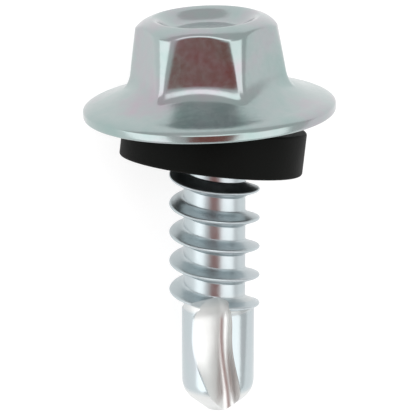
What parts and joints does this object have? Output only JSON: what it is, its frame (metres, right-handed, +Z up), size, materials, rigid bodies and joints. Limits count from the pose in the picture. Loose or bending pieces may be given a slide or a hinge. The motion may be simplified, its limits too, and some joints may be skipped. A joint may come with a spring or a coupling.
{
  "type": "hexagon washer head self drilling screw",
  "caption": "Self drilling screw with a drafted hexagon head forged in one with a wide swept flange, spaced thread, fluted drill point and a loose rubber sealing washer.",
  "frame": {"origin": "centre of the base of the whole part's box, on the surface that the screw lies on", "axes": "+Z up; +Y along the screw's long side, from the drill point towards the head, with the shank's own axis rising towards the head; +X to the right of the face that is upward"},
  "size_m": [0.0152, 0.0246, 0.0146],
  "materials": {
    "zinc_plated_steel": "bright zinc plating with a clear blue passivation, smooth and slightly iridescent",
    "black_rubber": "matte moulded rubber"
  },
  "bodies": {
    "root": {"screw": "zinc_plated_steel", "sealing_washer": "black_rubber"}
  },
  "joints": []
}
